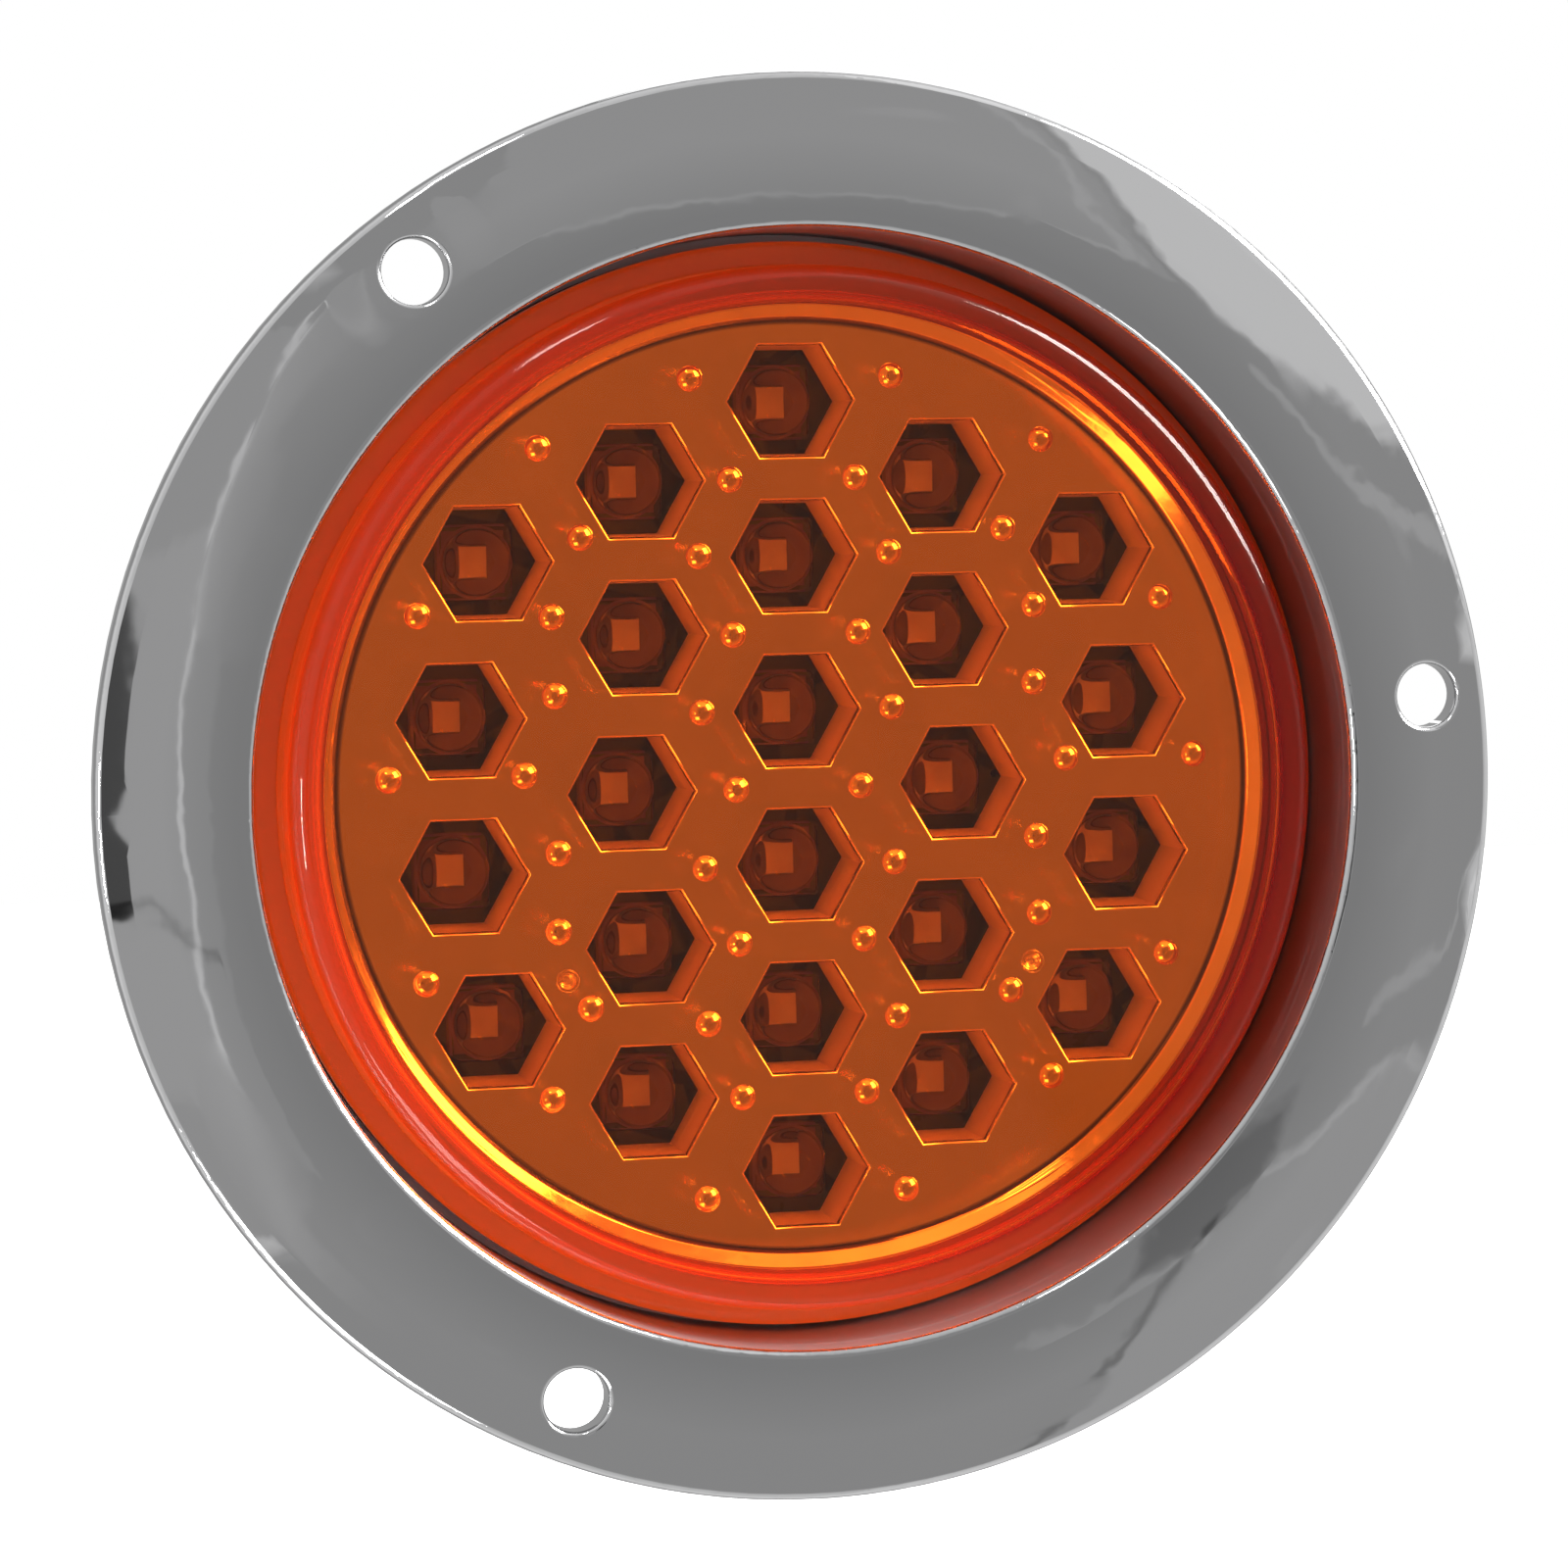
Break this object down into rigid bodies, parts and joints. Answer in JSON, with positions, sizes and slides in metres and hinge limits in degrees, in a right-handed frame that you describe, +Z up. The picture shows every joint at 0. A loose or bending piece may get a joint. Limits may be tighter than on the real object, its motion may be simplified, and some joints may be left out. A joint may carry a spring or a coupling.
{
  "type": "trailer tail light",
  "caption": "Round amber LED tail light for a trailer, seated in a chrome flange with screw holes and a pinned rear connector.",
  "frame": {"origin": "centre of the flange's flat back face, which lies against the vehicle", "axes": "+Y along the lamp's axis into the vehicle, so the lens faces -Y; +Z up; +X to the right seen from in front"},
  "size_m": [0.1396, 0.0431, 0.1396],
  "materials": {
    "chrome_plating": "bright chrome plating with a few fine scratches",
    "amber_polycarbonate": "clear amber moulding, polished",
    "metallised_plastic": "vacuum metallised, satin",
    "led_epoxy": "water-clear epoxy",
    "tinned_lead_frame": "dull tin plate",
    "green_circuit_board": "solder mask over glass-epoxy laminate",
    "zinc_plated_steel": "zinc plated",
    "resistor_lacquer": "beige lacquer",
    "black_epoxy": "moulded epoxy",
    "capacitor_can": "bare drawn can",
    "black_plastic": "fine moulded texture",
    "pale_plastic": "fine moulded texture, light grey",
    "seal_rubber": "matt",
    "spring_steel": "phosphated spring steel",
    "brass_pin": "bright brass"
  },
  "bodies": {
    "root": {"chrome_flange": "chrome_plating", "lens": "amber_polycarbonate", "reflector_plate": "metallised_plastic", "led_lead_frames": "tinned_lead_frame", "circuit_board": "green_circuit_board", "board_screws": "zinc_plated_steel", "diode_1": "black_epoxy", "diode_2": "black_epoxy", "surge_suppressor": "black_epoxy", "smoothing_capacitor": "capacitor_can", "housing": "pale_plastic", "connector_receptacle": "black_plastic", "seat_gasket": "seal_rubber", "receptacle_seal": "seal_rubber", "retaining_ring": "spring_steel", "ground_terminal": "brass_pin", "turn_terminal": "brass_pin", "marker_terminal": "brass_pin", "led_01": "led_epoxy", "led_02": "led_epoxy", "led_03": "led_epoxy", "led_04": "led_epoxy", "led_05": "led_epoxy", "led_06": "led_epoxy", "led_07": "led_epoxy", "led_08": "led_epoxy", "led_09": "led_epoxy", "led_10": "led_epoxy", "led_11": "led_epoxy", "led_12": "led_epoxy", "led_13": "led_epoxy", "led_14": "led_epoxy", "led_15": "led_epoxy", "led_16": "led_epoxy", "led_17": "led_epoxy", "led_18": "led_epoxy", "led_19": "led_epoxy", "led_20": "led_epoxy", "led_21": "led_epoxy", "led_22": "led_epoxy", "led_23": "led_epoxy", "led_24": "led_epoxy", "resistor_1": "resistor_lacquer", "resistor_2": "resistor_lacquer", "resistor_3": "resistor_lacquer", "resistor_4": "resistor_lacquer", "resistor_5": "resistor_lacquer", "resistor_6": "resistor_lacquer"}
  },
  "joints": []
}
